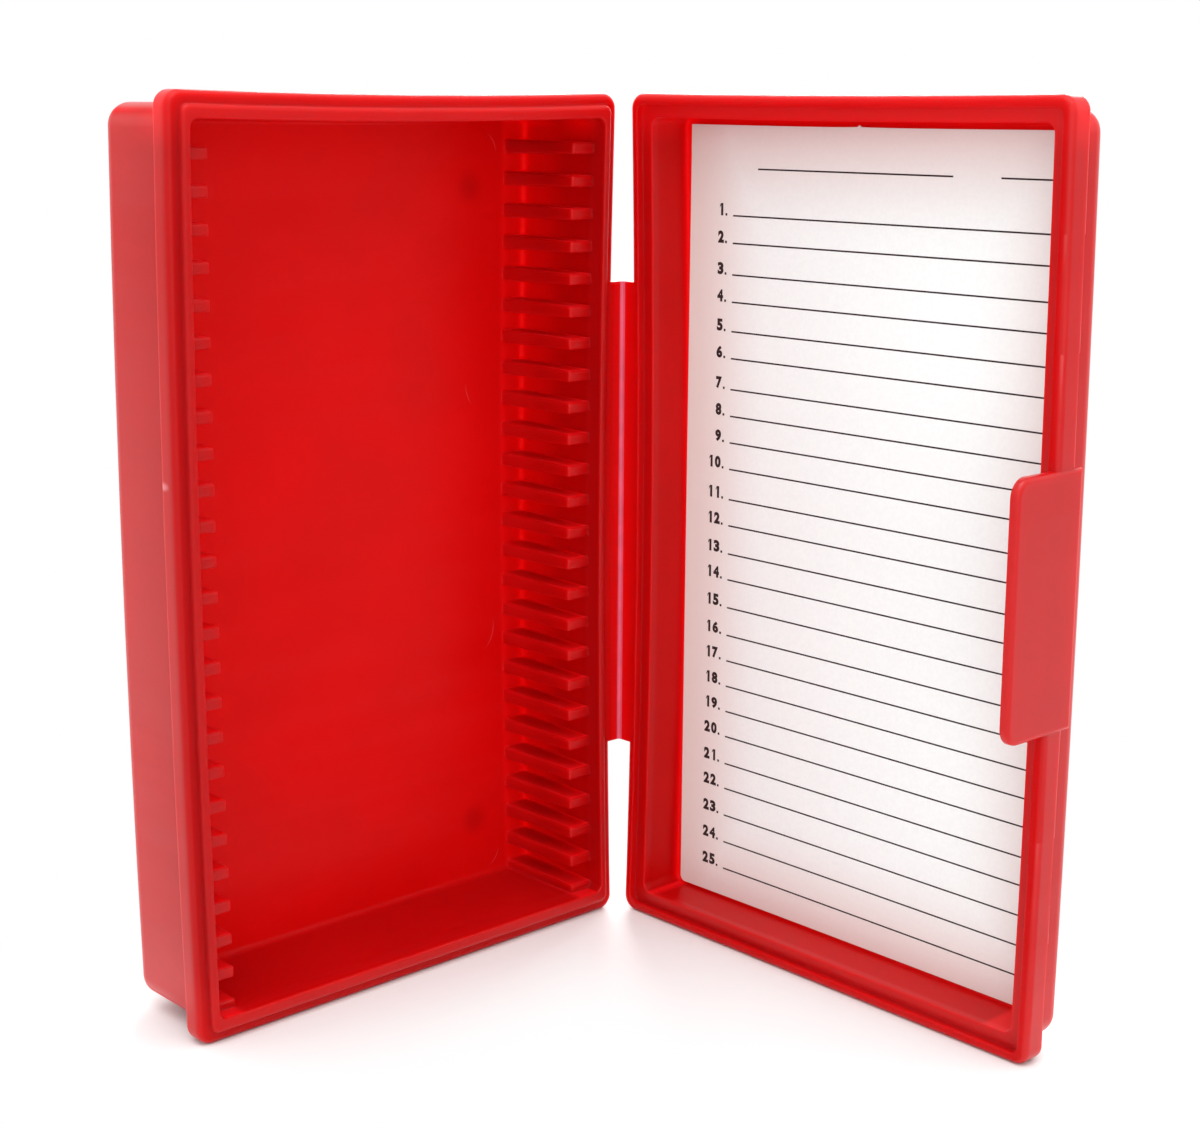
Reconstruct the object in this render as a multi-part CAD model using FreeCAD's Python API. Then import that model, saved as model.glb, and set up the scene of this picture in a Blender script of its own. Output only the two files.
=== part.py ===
import FreeCAD, Part
import os
from math import copysign, sqrt
from FreeCAD import Matrix, Vector

# Microscope slide storage box: a slotted tray and a shallow lid, joined by a living
# hinge, with an index card on the lid's floor. It stands open on its short end, at a
# right angle. Millimetres, +Z up along the fold. The origin is under the middle of
# the box, on the surface that it stands on.

# ---- Driving dimensions ----

# Rim outline
RIM_HEIGHT = 140.0           # along the fold, the standing height
TRAY_WIDTH = 84.1            # hinge side to latch side
LID_OVERHANG = 1.6           # the lid is this much wider, at the latch side
RIM_CORNER_RADIUS = 2.4
RIM_FRONT_RADIUS = 1.0       # rounding of the rim's outer front edge
RIM_BACK_RADIUS = 0.5        # rounding of the rim's outer back edge

# The sides are slightly bowed, as moulded
TRAY_HINGE_BOW = 1.15        # inwards
TRAY_LATCH_BULGE = 0.8       # outwards
TRAY_TOP_SAG = 0.6
LID_HINGE_BOW = 1.2
LID_LATCH_BULGE = 0.5
LID_TOP_SAG = 0.3

# Walls behind the rim
WALL_STEP = 1.7              # the rim stands out this far from the walls
BACK_EDGE_RADIUS = 2.8
WALL_CORNER_EXTRA = 0.6      # the walls' corners are this much rounder than the back edge
TRAY_DEPTH = 20.7
TRAY_RIM_DEPTH = 3.9
LID_DEPTH = 11.0
LID_RIM_DEPTH = 4.3
FLOOR_THICKNESS = 1.5

# Tray cavity, and the tongue that stands round its mouth
CAVITY_SIDE_INSET = 3.2      # rim's outer side to the cavity, on the long sides
CAVITY_END_INSET = 3.9       # the same on the short sides
CAVITY_CORNER_RADIUS = 1.4
CAVITY_EDGE_RADIUS = 0.3
TRAY_FLOOR_RADIUS = 0.8
TONGUE_HEIGHT = 0.9
TONGUE_CORNER_RADIUS = 1.3
TONGUE_OUTER_RADIUS = 0.7

# Slide ribs on both long walls of the tray
TOP_SLOT = 4.0               # clear height between the top wall and the first rib
RIB_PITCH = 5.29
RIB_REACH = 4.5              # how far a rib stands out of its wall
RIB_SETBACK = 2.0            # rim plane to the ribs' front ends
RIB_FRONT_THICKNESS = 1.8
RIB_BACK_THICKNESS = 2.3
RIB_ROOT = 0.4               # how far a rib runs into its wall and the floor
RIB_END_RADIUS = 0.35        # rounding of a rib's free edges

# Lid cavity, and the rebate that takes the tray's tongue
LID_FACE_WIDTH = 1.65        # width of the lid's front face, outside the rebate
REBATE_WIDTH = 2.1
TONGUE_SIDE_CLEARANCE = 0.2
TONGUE_END_CLEARANCE = 0.4
LID_CAVITY_CORNER_RADIUS = 1.5
LID_FLOOR_RADIUS = 0.5

# Living hinge: a leaf on each half and a thin web that folds between them
RIM_GAP = 0.1                # between the two rims when shut
FOLD_REACH = 1.25            # rim corners to the fold
HINGE_LENGTH = 79.0
LEAF_THICKNESS = 1.0
LEAF_OVERLAP = 0.1           # a leaf runs this far past the rounding of its rim
FOLD_HALF_WIDTH = 0.4        # fold to the end of either leaf
WEB_THICKNESS = 0.35

# Latch tab on the lid, with a lip that snaps behind the tray's rim
TAB_LENGTH = 38.0
TAB_REACH = 9.3              # in front of the lid's rim plane
TAB_THICKNESS = 1.4
TAB_CLEARANCE = 0.2          # tab to the tray's rim when shut
TAB_CORNER_RADIUS = 2.8
TAB_EDGE_RADIUS = 0.7
TAB_PAD_DEPTH = 5.9          # the tab runs on over the lid's side to this depth
TAB_PAD_ROOT = 0.8           # how far the pad runs into the lid's wall
LIP_LENGTH = 30.0
LIP_CATCH = 0.6              # how far the lip reaches behind the tray's rim
LIP_THICKNESS = 1.6
LIP_CLEARANCE = 0.2          # lip to the back of the tray's rim when shut

# Index card on the lid's floor, its lower corners rounded to suit the cavity's
CARD_THICKNESS = 0.25
CARD_TOP_GAP = 1.1
CARD_LATCH_GAP = 0.6

# Cutters run this far past the face that they open
CUT_OVERRUN = 1.0

# ---- Sizes worked out from those above ----

MIDDLE = RIM_HEIGHT / 2
LID_WIDTH = TRAY_WIDTH + LID_OVERHANG
WALL_CORNER_RADIUS = BACK_EDGE_RADIUS + WALL_CORNER_EXTRA
TRAY_FLOOR = TRAY_DEPTH - FLOOR_THICKNESS
LID_FLOOR = LID_DEPTH - FLOOR_THICKNESS
TONGUE_INSET = LID_FACE_WIDTH + TONGUE_SIDE_CLEARANCE
REBATE_DEPTH = TONGUE_HEIGHT + TONGUE_END_CLEARANCE
LID_CAVITY_INSET = LID_FACE_WIDTH + REBATE_WIDTH
RIM_PLANE = RIM_GAP / 2      # each rim's front lies this far from the fold's axis
FIRST_RIB = RIM_HEIGHT - CAVITY_END_INSET - TOP_SLOT - RIB_FRONT_THICKNESS / 2
RIB_COUNT = 1 + int((FIRST_RIB - CAVITY_END_INSET) / RIB_PITCH)


# ---- Outlines with bowed sides ----
# Each half is drawn with its rim plane at y = 0, opening towards -Y, centred on x = 0.
# A side is a pair, (centre, radius): an arc about a point that lies `centre` out on the
# side's own outward axis. A positive radius bows the side in, a negative one out.

def bowed_side(edge, bow, span):
    """The side that stands `edge` out at its two ends and `edge - bow` at mid-span."""
    radius = (span ** 2 / 4 + bow ** 2) / (2 * bow)
    return edge - bow + radius, radius


def reach(side, inset, off_middle):
    """How far out a side lies at a distance from its mid-span, when set in by `inset`."""
    centre, radius = side
    return centre - copysign(sqrt((radius + inset) ** 2 - off_middle ** 2), radius)


def new_half(width, hinge_bow, latch_bulge, top_sag, hinge_sign):
    """The sides of one half. hinge_sign is +1 where the hinge side is at +X."""
    return {
        "hinge": bowed_side(width / 2, hinge_bow, RIM_HEIGHT),
        "latch": bowed_side(width / 2, -latch_bulge, RIM_HEIGHT),
        "top": bowed_side(RIM_HEIGHT, top_sag, width),
        "signs": {"hinge": hinge_sign, "latch": -hinge_sign},
    }


def foot(side, pivot, centre, inset, radius):
    """Where a corner arc about `centre` meets a bowed side that turns about `pivot`."""
    return pivot + (centre - pivot) * ((side[1] + inset) / (side[1] + inset + radius))


def corner(half, name, at_top, side_inset, end_inset, radius):
    """A corner arc's centre, and the points where it meets the long and short sides."""
    side, top = half[name], half["top"]
    z = end_inset + radius
    x = reach(side, side_inset + radius, z - MIDDLE)
    if at_top:
        for _ in range(6):
            z = reach(top, end_inset + radius, x)
            x = reach(side, side_inset + radius, z - MIDDLE)
    sign = half["signs"][name]
    centre = Vector(sign * x, 0, z)
    on_side = foot(side, Vector(sign * side[0], 0, MIDDLE), centre, side_inset, radius)
    if at_top:
        return centre, on_side, foot(top, Vector(0, 0, top[0]), centre, end_inset, radius)
    return centre, on_side, Vector(sign * x, 0, end_inset)


def corner_arc(centre, start, end, radius):
    middle = (start - centre) + (end - centre)
    return Part.Arc(start, centre + middle.normalize() * radius, end).toShape()


def outline(half, side_inset, end_inset, radius):
    """Closed wire in the plane y = 0, set in from the rim's outline."""
    edges, ends = [], {}
    for name, sign in half["signs"].items():
        low = corner(half, name, False, side_inset, end_inset, radius)
        high = corner(half, name, True, side_inset, end_inset, radius)
        middle = Vector(sign * reach(half[name], side_inset, 0), 0, MIDDLE)
        edges.append(Part.Arc(low[1], middle, high[1]).toShape())
        edges += [corner_arc(*low, radius), corner_arc(*high, radius)]
        ends[name] = low[2], high[2]
    top_middle = Vector(0, 0, reach(half["top"], end_inset, 0))
    edges.append(Part.Arc(ends["hinge"][1], top_middle, ends["latch"][1]).toShape())
    edges.append(Part.makeLine(ends["hinge"][0], ends["latch"][0]))
    return Part.Wire(Part.sortEdges(edges)[0])


# ---- Solids ----

def prism(wire, front, back):
    """The outline as a solid from y = front to y = back."""
    face = Part.Face(wire)
    face.translate(Vector(0, front, 0))
    return face.extrude(Vector(0, back - front, 0))


def rounded(shape, wire, depth, radius):
    """Rounds the edges of a shape that lie on the outline at y = depth."""
    path = wire.copy()
    path.translate(Vector(0, depth, 0))
    tolerance = 1e-4
    edges = [e for e in shape.Edges
             if all(path.distToShape(Part.Vertex(p))[0] < tolerance for p in e.discretize(3))]
    return shape.makeFillet(radius, edges)


def block(x, y, z):
    """A box between the two ends of each pair, in either order."""
    low = Vector(min(x), min(y), min(z))
    return Part.makeBox(max(x) - low.x, max(y) - low.y, max(z) - low.z, low)


def centred(length):
    """The two ends of a stretch of this length, at the middle of the height."""
    return MIDDLE - length / 2, MIDDLE + length / 2


def closed_half(half, depth, rim_depth):
    """Rim and walls as one block, before it is hollowed."""
    rim_wire = outline(half, 0, 0, RIM_CORNER_RADIUS)
    rim = rounded(prism(rim_wire, 0, rim_depth), rim_wire, 0, RIM_FRONT_RADIUS)
    rim = rounded(rim, rim_wire, rim_depth, RIM_BACK_RADIUS)
    wall_wire = outline(half, WALL_STEP, WALL_STEP, WALL_CORNER_RADIUS)
    walls = prism(wall_wire, RIM_FRONT_RADIUS, depth)
    return rim.fuse(rounded(walls, wall_wire, depth, BACK_EDGE_RADIUS))


def hinge_leaf(half, width):
    """Strip in the rim plane, from inside the rim to just short of the fold."""
    sign = half["signs"]["hinge"]
    root = reach(half["hinge"], RIM_FRONT_RADIUS + LEAF_OVERLAP, 0)
    tip = width / 2 + FOLD_REACH - FOLD_HALF_WIDTH
    return block((sign * root, sign * tip), (0, LEAF_THICKNESS), centred(HINGE_LENGTH))


def slide_rib(half, name, height):
    """A rib at this height, thicker at the floor. Its reach follows the bowed wall."""
    sign = half["signs"][name]
    overrun = RIB_ROOT + CUT_OVERRUN
    root = reach(half[name], CAVITY_SIDE_INSET, height - MIDDLE) + overrun
    front, back = RIB_SETBACK, TRAY_FLOOR + overrun
    points = [
        Vector(sign * root, front, height - RIB_FRONT_THICKNESS / 2),
        Vector(sign * root, front, height + RIB_FRONT_THICKNESS / 2),
        Vector(sign * root, back, height + RIB_BACK_THICKNESS / 2),
        Vector(sign * root, back, height - RIB_BACK_THICKNESS / 2),
    ]
    section = Part.Face(Part.makePolygon(points + points[:1]))
    rib = section.extrude(Vector(-sign * (overrun + RIB_REACH), 0, 0))
    wall, floor = root - CUT_OVERRUN / 2, back - CUT_OVERRUN / 2
    free_edges = [e for e in rib.Edges
                  if abs(e.CenterOfMass.x) < wall and e.CenterOfMass.y < floor]
    return rib.makeFillet(RIB_END_RADIUS, free_edges)


def rib_roots(half):
    """The cavity grown by the ribs' roots, so that no rib comes out of the walls."""
    wire = outline(half, CAVITY_SIDE_INSET - RIB_ROOT, CAVITY_END_INSET - RIB_ROOT,
                   CAVITY_CORNER_RADIUS + RIB_ROOT)
    back = TRAY_FLOOR + RIB_ROOT
    return rounded(prism(wire, 0, back), wire, back, TRAY_FLOOR_RADIUS + RIB_ROOT)


def make_tray(half):
    body = closed_half(half, TRAY_DEPTH, TRAY_RIM_DEPTH)
    tongue_wire = outline(half, TONGUE_INSET, TONGUE_INSET, TONGUE_CORNER_RADIUS)
    tongue = prism(tongue_wire, -TONGUE_HEIGHT, TRAY_RIM_DEPTH)
    tongue = rounded(tongue, tongue_wire, -TONGUE_HEIGHT, TONGUE_OUTER_RADIUS)
    mouth_wire = outline(half, CAVITY_SIDE_INSET, CAVITY_END_INSET, CAVITY_CORNER_RADIUS)
    cavity = prism(mouth_wire, -TONGUE_HEIGHT - CUT_OVERRUN, TRAY_FLOOR)
    cavity = rounded(cavity, mouth_wire, TRAY_FLOOR, TRAY_FLOOR_RADIUS)
    shell = body.fuse(tongue).cut(cavity)
    shell = rounded(shell, mouth_wire, -TONGUE_HEIGHT, CAVITY_EDGE_RADIUS)
    roots = rib_roots(half)
    ribs = [slide_rib(half, name, FIRST_RIB - RIB_PITCH * number).common(roots)
            for name in ("hinge", "latch") for number in range(RIB_COUNT)]
    return shell.fuse(ribs + [hinge_leaf(half, TRAY_WIDTH)]).removeSplitter()


def tab_outline():
    """The tab seen from the side: square at the lid's back, rounded in front."""
    low, high = centred(TAB_LENGTH)
    turn = TAB_CORNER_RADIUS
    bend = turn * (1 - sqrt(0.5))
    front, back = -TAB_REACH, TAB_PAD_DEPTH
    return Part.Wire([
        Part.makeLine(Vector(0, back, low), Vector(0, front + turn, low)),
        Part.Arc(Vector(0, front + turn, low), Vector(0, front + bend, low + bend),
                 Vector(0, front, low + turn)).toShape(),
        Part.makeLine(Vector(0, front, low + turn), Vector(0, front, high - turn)),
        Part.Arc(Vector(0, front, high - turn), Vector(0, front + bend, high - bend),
                 Vector(0, front + turn, high)).toShape(),
        Part.makeLine(Vector(0, front + turn, high), Vector(0, back, high)),
        Part.makeLine(Vector(0, back, high), Vector(0, back, low)),
    ])


def make_tab():
    """Latch tab at the lid's +X side, with its snap lip and the pad on the lid's wall."""
    rim_side = TRAY_WIDTH + TRAY_LATCH_BULGE - LID_WIDTH / 2
    inner = rim_side + TAB_CLEARANCE
    blade = Part.Face(tab_outline()).extrude(Vector(TAB_THICKNESS, 0, 0))
    outer_edges = [e for e in blade.Edges if e.BoundBox.XMin > TAB_EDGE_RADIUS]
    blade = blade.makeFillet(TAB_EDGE_RADIUS, outer_edges)
    blade.translate(Vector(inner, 0, 0))
    wall = LID_WIDTH / 2 - WALL_STEP
    pad = block((wall - TAB_PAD_ROOT, inner + TAB_THICKNESS - TAB_EDGE_RADIUS),
                (LID_RIM_DEPTH - TAB_PAD_ROOT, TAB_PAD_DEPTH), centred(TAB_LENGTH))
    lip_back = -(RIM_GAP + TRAY_RIM_DEPTH + LIP_CLEARANCE)
    low, high = centred(LIP_LENGTH)
    points = [Vector(inner, lip_back, low), Vector(rim_side - LIP_CATCH, lip_back, low),
              Vector(inner, lip_back - LIP_THICKNESS, low)]
    lip = Part.Face(Part.makePolygon(points + points[:1])).extrude(Vector(0, 0, high - low))
    return blade.fuse([pad, lip])


def make_lid(half):
    body = closed_half(half, LID_DEPTH, LID_RIM_DEPTH)
    rebate_wire = outline(half, LID_FACE_WIDTH, LID_FACE_WIDTH, TONGUE_CORNER_RADIUS)
    rebate = prism(rebate_wire, -CUT_OVERRUN, REBATE_DEPTH)
    floor_wire = outline(half, LID_CAVITY_INSET, LID_CAVITY_INSET, LID_CAVITY_CORNER_RADIUS)
    cavity = prism(floor_wire, -CUT_OVERRUN, LID_FLOOR)
    cavity = rounded(cavity, floor_wire, LID_FLOOR, LID_FLOOR_RADIUS)
    shell = body.cut(rebate).cut(cavity)
    return shell.fuse([make_tab(), hinge_leaf(half, LID_WIDTH)]).removeSplitter()


def make_card():
    """Card on the lid's floor, just clear of the rounding round its edge."""
    clear = LID_CAVITY_INSET + LID_FLOOR_RADIUS
    left = clear + LID_HINGE_BOW - LID_WIDTH / 2
    right = LID_WIDTH / 2 - LID_CAVITY_INSET - CARD_LATCH_GAP
    top = RIM_HEIGHT - LID_CAVITY_INSET - LID_TOP_SAG - CARD_TOP_GAP
    card = block((left, right), (LID_FLOOR - CARD_THICKNESS, LID_FLOOR), (clear, top))
    lower_corners = [e for e in card.Edges
                     if e.BoundBox.ZMax < MIDDLE and e.BoundBox.YLength > CARD_THICKNESS / 2]
    return card.makeFillet(LID_CAVITY_CORNER_RADIUS - LID_FLOOR_RADIUS, lower_corners)


def make_web():
    """The thin web, bent a quarter turn from one leaf's end to the other's."""
    low = centred(HINGE_LENGTH)[0]
    centre = Vector(FOLD_REACH - FOLD_HALF_WIDTH, -FOLD_HALF_WIDTH, low)
    inner = FOLD_HALF_WIDTH + RIM_PLANE
    up = Vector(0, 0, 1)
    quarter = Part.makeCylinder(inner + WEB_THICKNESS, HINGE_LENGTH, centre, up, 90)
    return quarter.cut(Part.makeCylinder(inner, HINGE_LENGTH, centre, up))


# ---- Standing open: the fold's axis is at x = FOLD_REACH, y = 0 ----

def place_tray(shape):
    """The tray runs towards -X from the fold and opens towards -Y."""
    shape.translate(Vector(-TRAY_WIDTH / 2, RIM_PLANE, 0))
    return shape


def place_lid(shape):
    """The lid runs towards -Y from the fold and opens towards -X."""
    quarter_turn = Matrix(0, 1, 0, 0, -1, 0, 0, 0, 0, 0, 1, 0, 0, 0, 0, 1)
    shape.transformShape(quarter_turn)
    shape.translate(Vector(FOLD_REACH + RIM_PLANE, -FOLD_REACH - LID_WIDTH / 2, 0))
    return shape


def main():
    tray_half = new_half(TRAY_WIDTH, TRAY_HINGE_BOW, TRAY_LATCH_BULGE, TRAY_TOP_SAG, 1)
    lid_half = new_half(LID_WIDTH, LID_HINGE_BOW, LID_LATCH_BULGE, LID_TOP_SAG, -1)
    nodes = {
        "tray": place_tray(make_tray(tray_half)),
        "lid": place_lid(make_lid(lid_half)),
        "living_hinge": make_web(),
        "index_card": place_lid(make_card()),
    }
    bounds = Part.Compound(list(nodes.values())).optimalBoundingBox(False, False)
    to_origin = Vector(-bounds.Center.x, -bounds.Center.y, -bounds.ZMin)
    os.makedirs("parts", exist_ok=True)
    for name, shape in nodes.items():
        shape.translate(to_origin)
        shape.exportStep(f"parts/{name}.step")
        print(name, len(shape.Solids), "solid", shape.isValid(), round(shape.Volume, 2), "mm3")
    print("fold axis x, y:", round(to_origin.x + FOLD_REACH, 4), round(to_origin.y, 4))
    print("overall:", round(bounds.XLength, 3), round(bounds.YLength, 3), round(bounds.ZLength, 3))


main()
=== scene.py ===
"""Looks of a hinged microscope slide storage box: red moulded plastic, hinge web and card."""

from math import cos, exp, pi, sin, sqrt

import bmesh
import bpy
from mathutils import Matrix, Vector


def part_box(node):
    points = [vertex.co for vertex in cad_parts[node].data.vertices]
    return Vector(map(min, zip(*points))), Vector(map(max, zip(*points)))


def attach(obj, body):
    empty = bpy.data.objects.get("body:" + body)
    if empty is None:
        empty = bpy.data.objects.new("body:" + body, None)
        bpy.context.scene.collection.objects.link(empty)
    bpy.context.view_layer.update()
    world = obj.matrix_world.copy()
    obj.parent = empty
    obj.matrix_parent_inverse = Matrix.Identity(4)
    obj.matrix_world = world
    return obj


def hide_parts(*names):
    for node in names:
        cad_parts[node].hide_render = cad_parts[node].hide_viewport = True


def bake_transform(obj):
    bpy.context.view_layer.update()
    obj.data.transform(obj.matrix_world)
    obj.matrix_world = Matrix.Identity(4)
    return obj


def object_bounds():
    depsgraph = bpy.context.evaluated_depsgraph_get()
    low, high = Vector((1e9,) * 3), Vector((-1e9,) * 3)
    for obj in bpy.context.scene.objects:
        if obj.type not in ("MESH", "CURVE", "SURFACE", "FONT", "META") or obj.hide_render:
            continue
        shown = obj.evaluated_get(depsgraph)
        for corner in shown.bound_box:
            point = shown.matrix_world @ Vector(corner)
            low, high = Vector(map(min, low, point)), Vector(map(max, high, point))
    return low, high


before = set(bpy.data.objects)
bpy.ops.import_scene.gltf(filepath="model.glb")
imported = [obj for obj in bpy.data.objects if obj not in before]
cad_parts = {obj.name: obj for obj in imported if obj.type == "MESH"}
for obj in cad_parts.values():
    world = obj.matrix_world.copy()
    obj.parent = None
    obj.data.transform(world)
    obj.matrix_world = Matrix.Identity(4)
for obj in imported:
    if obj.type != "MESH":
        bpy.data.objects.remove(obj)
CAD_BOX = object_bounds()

bl_info = {
    "name": "Slide Storage Box",
    "version": (1, 0, 0),
    "blender": (4, 5, 0),
    "location": "3D View > Sidebar > Slide Box",
    "description": "Plastic, hinge film and index card of a hinged slide storage box",
    "category": "Object",
}

MM = 0.001

# ---- Places read from the frame ----

TRAY_LOW, TRAY_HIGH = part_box("tray")
LID_LOW, LID_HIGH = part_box("lid")
CARD_LOW, CARD_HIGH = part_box("index_card")
WEB_LOW, WEB_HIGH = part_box("living_hinge")
CARD_RECESS = 9.25 * MM      # lid's rim to the card's face
TONGUE_HEIGHT = 0.9 * MM     # how far the tongue stands out of the tray's mouth
LID_MOUTH = CARD_LOW.x - CARD_RECESS
TRAY_MOUTH = TRAY_LOW.y + TONGUE_HEIGHT

# Each half as a box seen from its mouth: across it, into it and up. Both of its long
# sides bend the same way, by `bow` at mid-height. `mouth_shade` is the painted shade at the
# sides of the mouth, and `glow_depth` is where the painted glow beside the ribs starts and is
# full.
TRAY_SHAPE = {
    "middle": Vector((-6.15 * MM, TRAY_MOUTH, TRAY_HIGH.z / 2)),
    "turn": 0.0,
    "bow": 0.98 * MM,
    "half_width": 42.05 * MM,
    "half_height": TRAY_HIGH.z / 2,
    "depth": TRAY_HIGH.y - TRAY_MOUTH,
    "mouth_shade": 0.77,
    "glow_depth": (8 * MM, 16 * MM),
}
LID_SHAPE = {
    "middle": Vector((LID_MOUTH, -9.35 * MM, LID_HIGH.z / 2)),
    "turn": -pi / 2,
    "bow": -0.85 * MM,
    "half_width": 42.85 * MM,
    "half_height": LID_HIGH.z / 2,
    "depth": LID_HIGH.x - LID_MOUTH,
    "mouth_shade": 0.90,
    "glow_depth": (8 * MM, 9.3 * MM),
}


# ---- Settings that a user would change ----

class PlasticSettings(bpy.types.PropertyGroup):
    """Red polypropylene of the tray, the lid and their hinge."""
    colour: bpy.props.FloatVectorProperty(
        name="Colour", description="Colour of the moulded plastic",
        subtype="COLOR", size=3, min=0, max=1, default=(0.49, 0.0012, 0.0018))
    roughness: bpy.props.FloatProperty(
        name="Roughness", description="Roughness of the moulded faces",
        min=0, max=1, default=0.36)
    grain_size: bpy.props.FloatProperty(
        name="Grain size", description="Size of the mould's fine grain",
        unit="LENGTH", min=0.0001, default=0.5 * MM)
    # Pale colour of the flow streaks, also painted on every edge as a highlight
    edge_colour: bpy.props.FloatVectorProperty(
        name="Edge colour", description="Paler colour of the plastic's edges",
        subtype="COLOR", size=3, min=0, max=1, default=(0.56, 0.02, 0.024))
    # Painted light: the glow at the top of each half's mouth and between the ribs
    thin_colour: bpy.props.FloatVectorProperty(
        name="Thin colour", description="Brighter colour where light comes through thin plastic",
        subtype="COLOR", size=3, min=0, max=1, default=(0.66, 0.005, 0.007))
    # Painted light on the ribs' upper faces, which lie in shade
    rib_top_colour: bpy.props.FloatVectorProperty(
        name="Rib top colour",
        description="Colour of the ribs' upper faces, lit through the wall",
        subtype="COLOR", size=3, min=0, max=1, default=(0.73, 0.006, 0.009))
    worn_colour: bpy.props.FloatVectorProperty(
        name="Worn colour", description="Whitened plastic in nicks and scratches",
        subtype="COLOR", size=3, min=0, max=1, default=(0.72, 0.30, 0.32))
    edge_radius: bpy.props.FloatProperty(
        name="Edge radius", description="Slight rounding that light finds on each edge",
        unit="LENGTH", min=0, default=0.6 * MM)
    flow_size: bpy.props.FloatProperty(
        name="Flow size", description="Size of the clouds left as the plastic flowed",
        unit="LENGTH", min=0.001, default=16 * MM)


class HingeSettings(bpy.types.PropertyGroup):
    """Thin web that folds between the tray and the lid."""
    # Pale with painted light that shines through the web from behind
    colour: bpy.props.FloatVectorProperty(
        name="Colour", description="Colour of the web, which light shines through",
        subtype="COLOR", size=3, min=0, max=1, default=(0.82, 0.10, 0.17))
    tray_overlap: bpy.props.FloatProperty(
        name="Overlap on tray", description="How far the web runs over the tray's leaf",
        unit="LENGTH", min=0, default=0.11 * MM)
    lid_overlap: bpy.props.FloatProperty(
        name="Overlap on lid", description="How far the web runs over the lid's leaf",
        unit="LENGTH", min=0, default=0.22 * MM)


class CardSettings(bpy.types.PropertyGroup):
    """Index card on the lid's floor."""
    paper: bpy.props.FloatVectorProperty(
        name="Paper", description="Colour of the card",
        subtype="COLOR", size=3, min=0, max=1, default=(0.92, 0.975, 0.97))
    ink: bpy.props.FloatVectorProperty(
        name="Ink", description="Colour of the printing",
        subtype="COLOR", size=3, min=0, max=1, default=(0.018, 0.006, 0.008))
    hinge_lift: bpy.props.FloatProperty(
        name="Lift", description="How far the card's hinge side stands off the lid's floor",
        unit="LENGTH", min=0, default=0.4 * MM)
    digit_height: bpy.props.FloatProperty(
        name="Digit height", description="Height of the printed numbers",
        unit="LENGTH", min=0.0001, default=2.0 * MM)
    digit_width: bpy.props.FloatProperty(
        name="Digit width", description="Width of every printed digit but 1",
        unit="LENGTH", min=0.0001, default=1.32 * MM)
    stop_width: bpy.props.FloatProperty(
        name="Full stop", description="Side of the square full stops",
        unit="LENGTH", min=0.00001, default=0.4 * MM)
    line_width: bpy.props.FloatProperty(
        name="Line width", description="Width of the ruled lines",
        unit="LENGTH", min=0.00001, default=0.26 * MM)
    first_line: bpy.props.FloatProperty(
        name="First line", description="Card's top edge to the first numbered line",
        unit="LENGTH", min=0, default=14.2 * MM)
    line_gap: bpy.props.FloatProperty(
        name="Line gap", description="Usual distance from one numbered line to the next",
        unit="LENGTH", min=0, default=4.44 * MM)


class StageSettings(bpy.types.PropertyGroup):
    """Floor, light and camera."""
    floor_colour: bpy.props.FloatVectorProperty(
        name="Floor colour", description="Colour of the floor",
        subtype="COLOR", size=3, min=0, max=1, default=(0.87, 0.89, 0.89))
    floor_size: bpy.props.FloatProperty(
        name="Floor size", description="Side of the square floor",
        unit="LENGTH", min=0.1, default=6.0)
    ambient: bpy.props.FloatProperty(
        name="Ambient", description="Strength of the light from all around",
        min=0, default=1.04)
    top_power: bpy.props.FloatProperty(
        name="Top light", description="Power of the lamp overhead",
        unit="POWER", min=0, default=5.5)
    front_power: bpy.props.FloatProperty(
        name="Front light", description="Power of the lamp beside the camera",
        unit="POWER", min=0, default=0.8)
    back_power: bpy.props.FloatProperty(
        name="Back light", description="Power of the lamp behind and to the right",
        unit="POWER", min=0, default=9.0)
    camera_place: bpy.props.FloatVectorProperty(
        name="Camera place", description="Where the camera stands",
        subtype="TRANSLATION", size=3, default=(-0.201204, -0.218135, 0.13846))
    camera_heading: bpy.props.FloatProperty(
        name="Heading", description="Camera's turn from +Y towards +X",
        subtype="ANGLE", default=0.75348)
    camera_tilt: bpy.props.FloatProperty(
        name="Tilt", description="How far the camera looks down",
        subtype="ANGLE", default=0.20563)
    camera_roll: bpy.props.FloatProperty(
        name="Roll", description="Camera's turn about its own line of sight",
        subtype="ANGLE", default=0.00643)
    lens: bpy.props.FloatProperty(
        name="Lens", description="Focal length on a sensor 36 mm wide",
        unit="CAMERA", min=1, default=62.54)
    shift: bpy.props.FloatVectorProperty(
        name="Shift", description="Shift of the picture, across and up, as shares of its width",
        size=2, default=(-0.00747, -0.02047))


# ---- Shader helpers ----

def new_material(name):
    """A material whose tree holds only a Principled BSDF and its output."""
    material = bpy.data.materials.new(name)
    material.use_nodes = True
    return material, material.node_tree, material.node_tree.nodes["Principled BSDF"]


def add(tree, kind, links=None, **values):
    """A new node. Values go to its attributes, or to sockets by index or name through links."""
    node = tree.nodes.new(kind)
    for name, value in values.items():
        setattr(node, name, value)
    for socket, value in (links or {}).items():
        if isinstance(value, bpy.types.NodeSocket):
            tree.links.new(value, node.inputs[socket])
        else:
            node.inputs[socket].default_value = value
    return node


def math_node(tree, operation, *operands, clamp=False):
    node = add(tree, "ShaderNodeMath", dict(enumerate(operands)), operation=operation)
    node.use_clamp = clamp
    return node.outputs[0]


def vector_node(tree, operation, *operands):
    node = add(tree, "ShaderNodeVectorMath", dict(enumerate(operands)), operation=operation)
    number = operation in ("LENGTH", "DISTANCE", "DOT_PRODUCT")
    return node.outputs["Value" if number else "Vector"]


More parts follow.
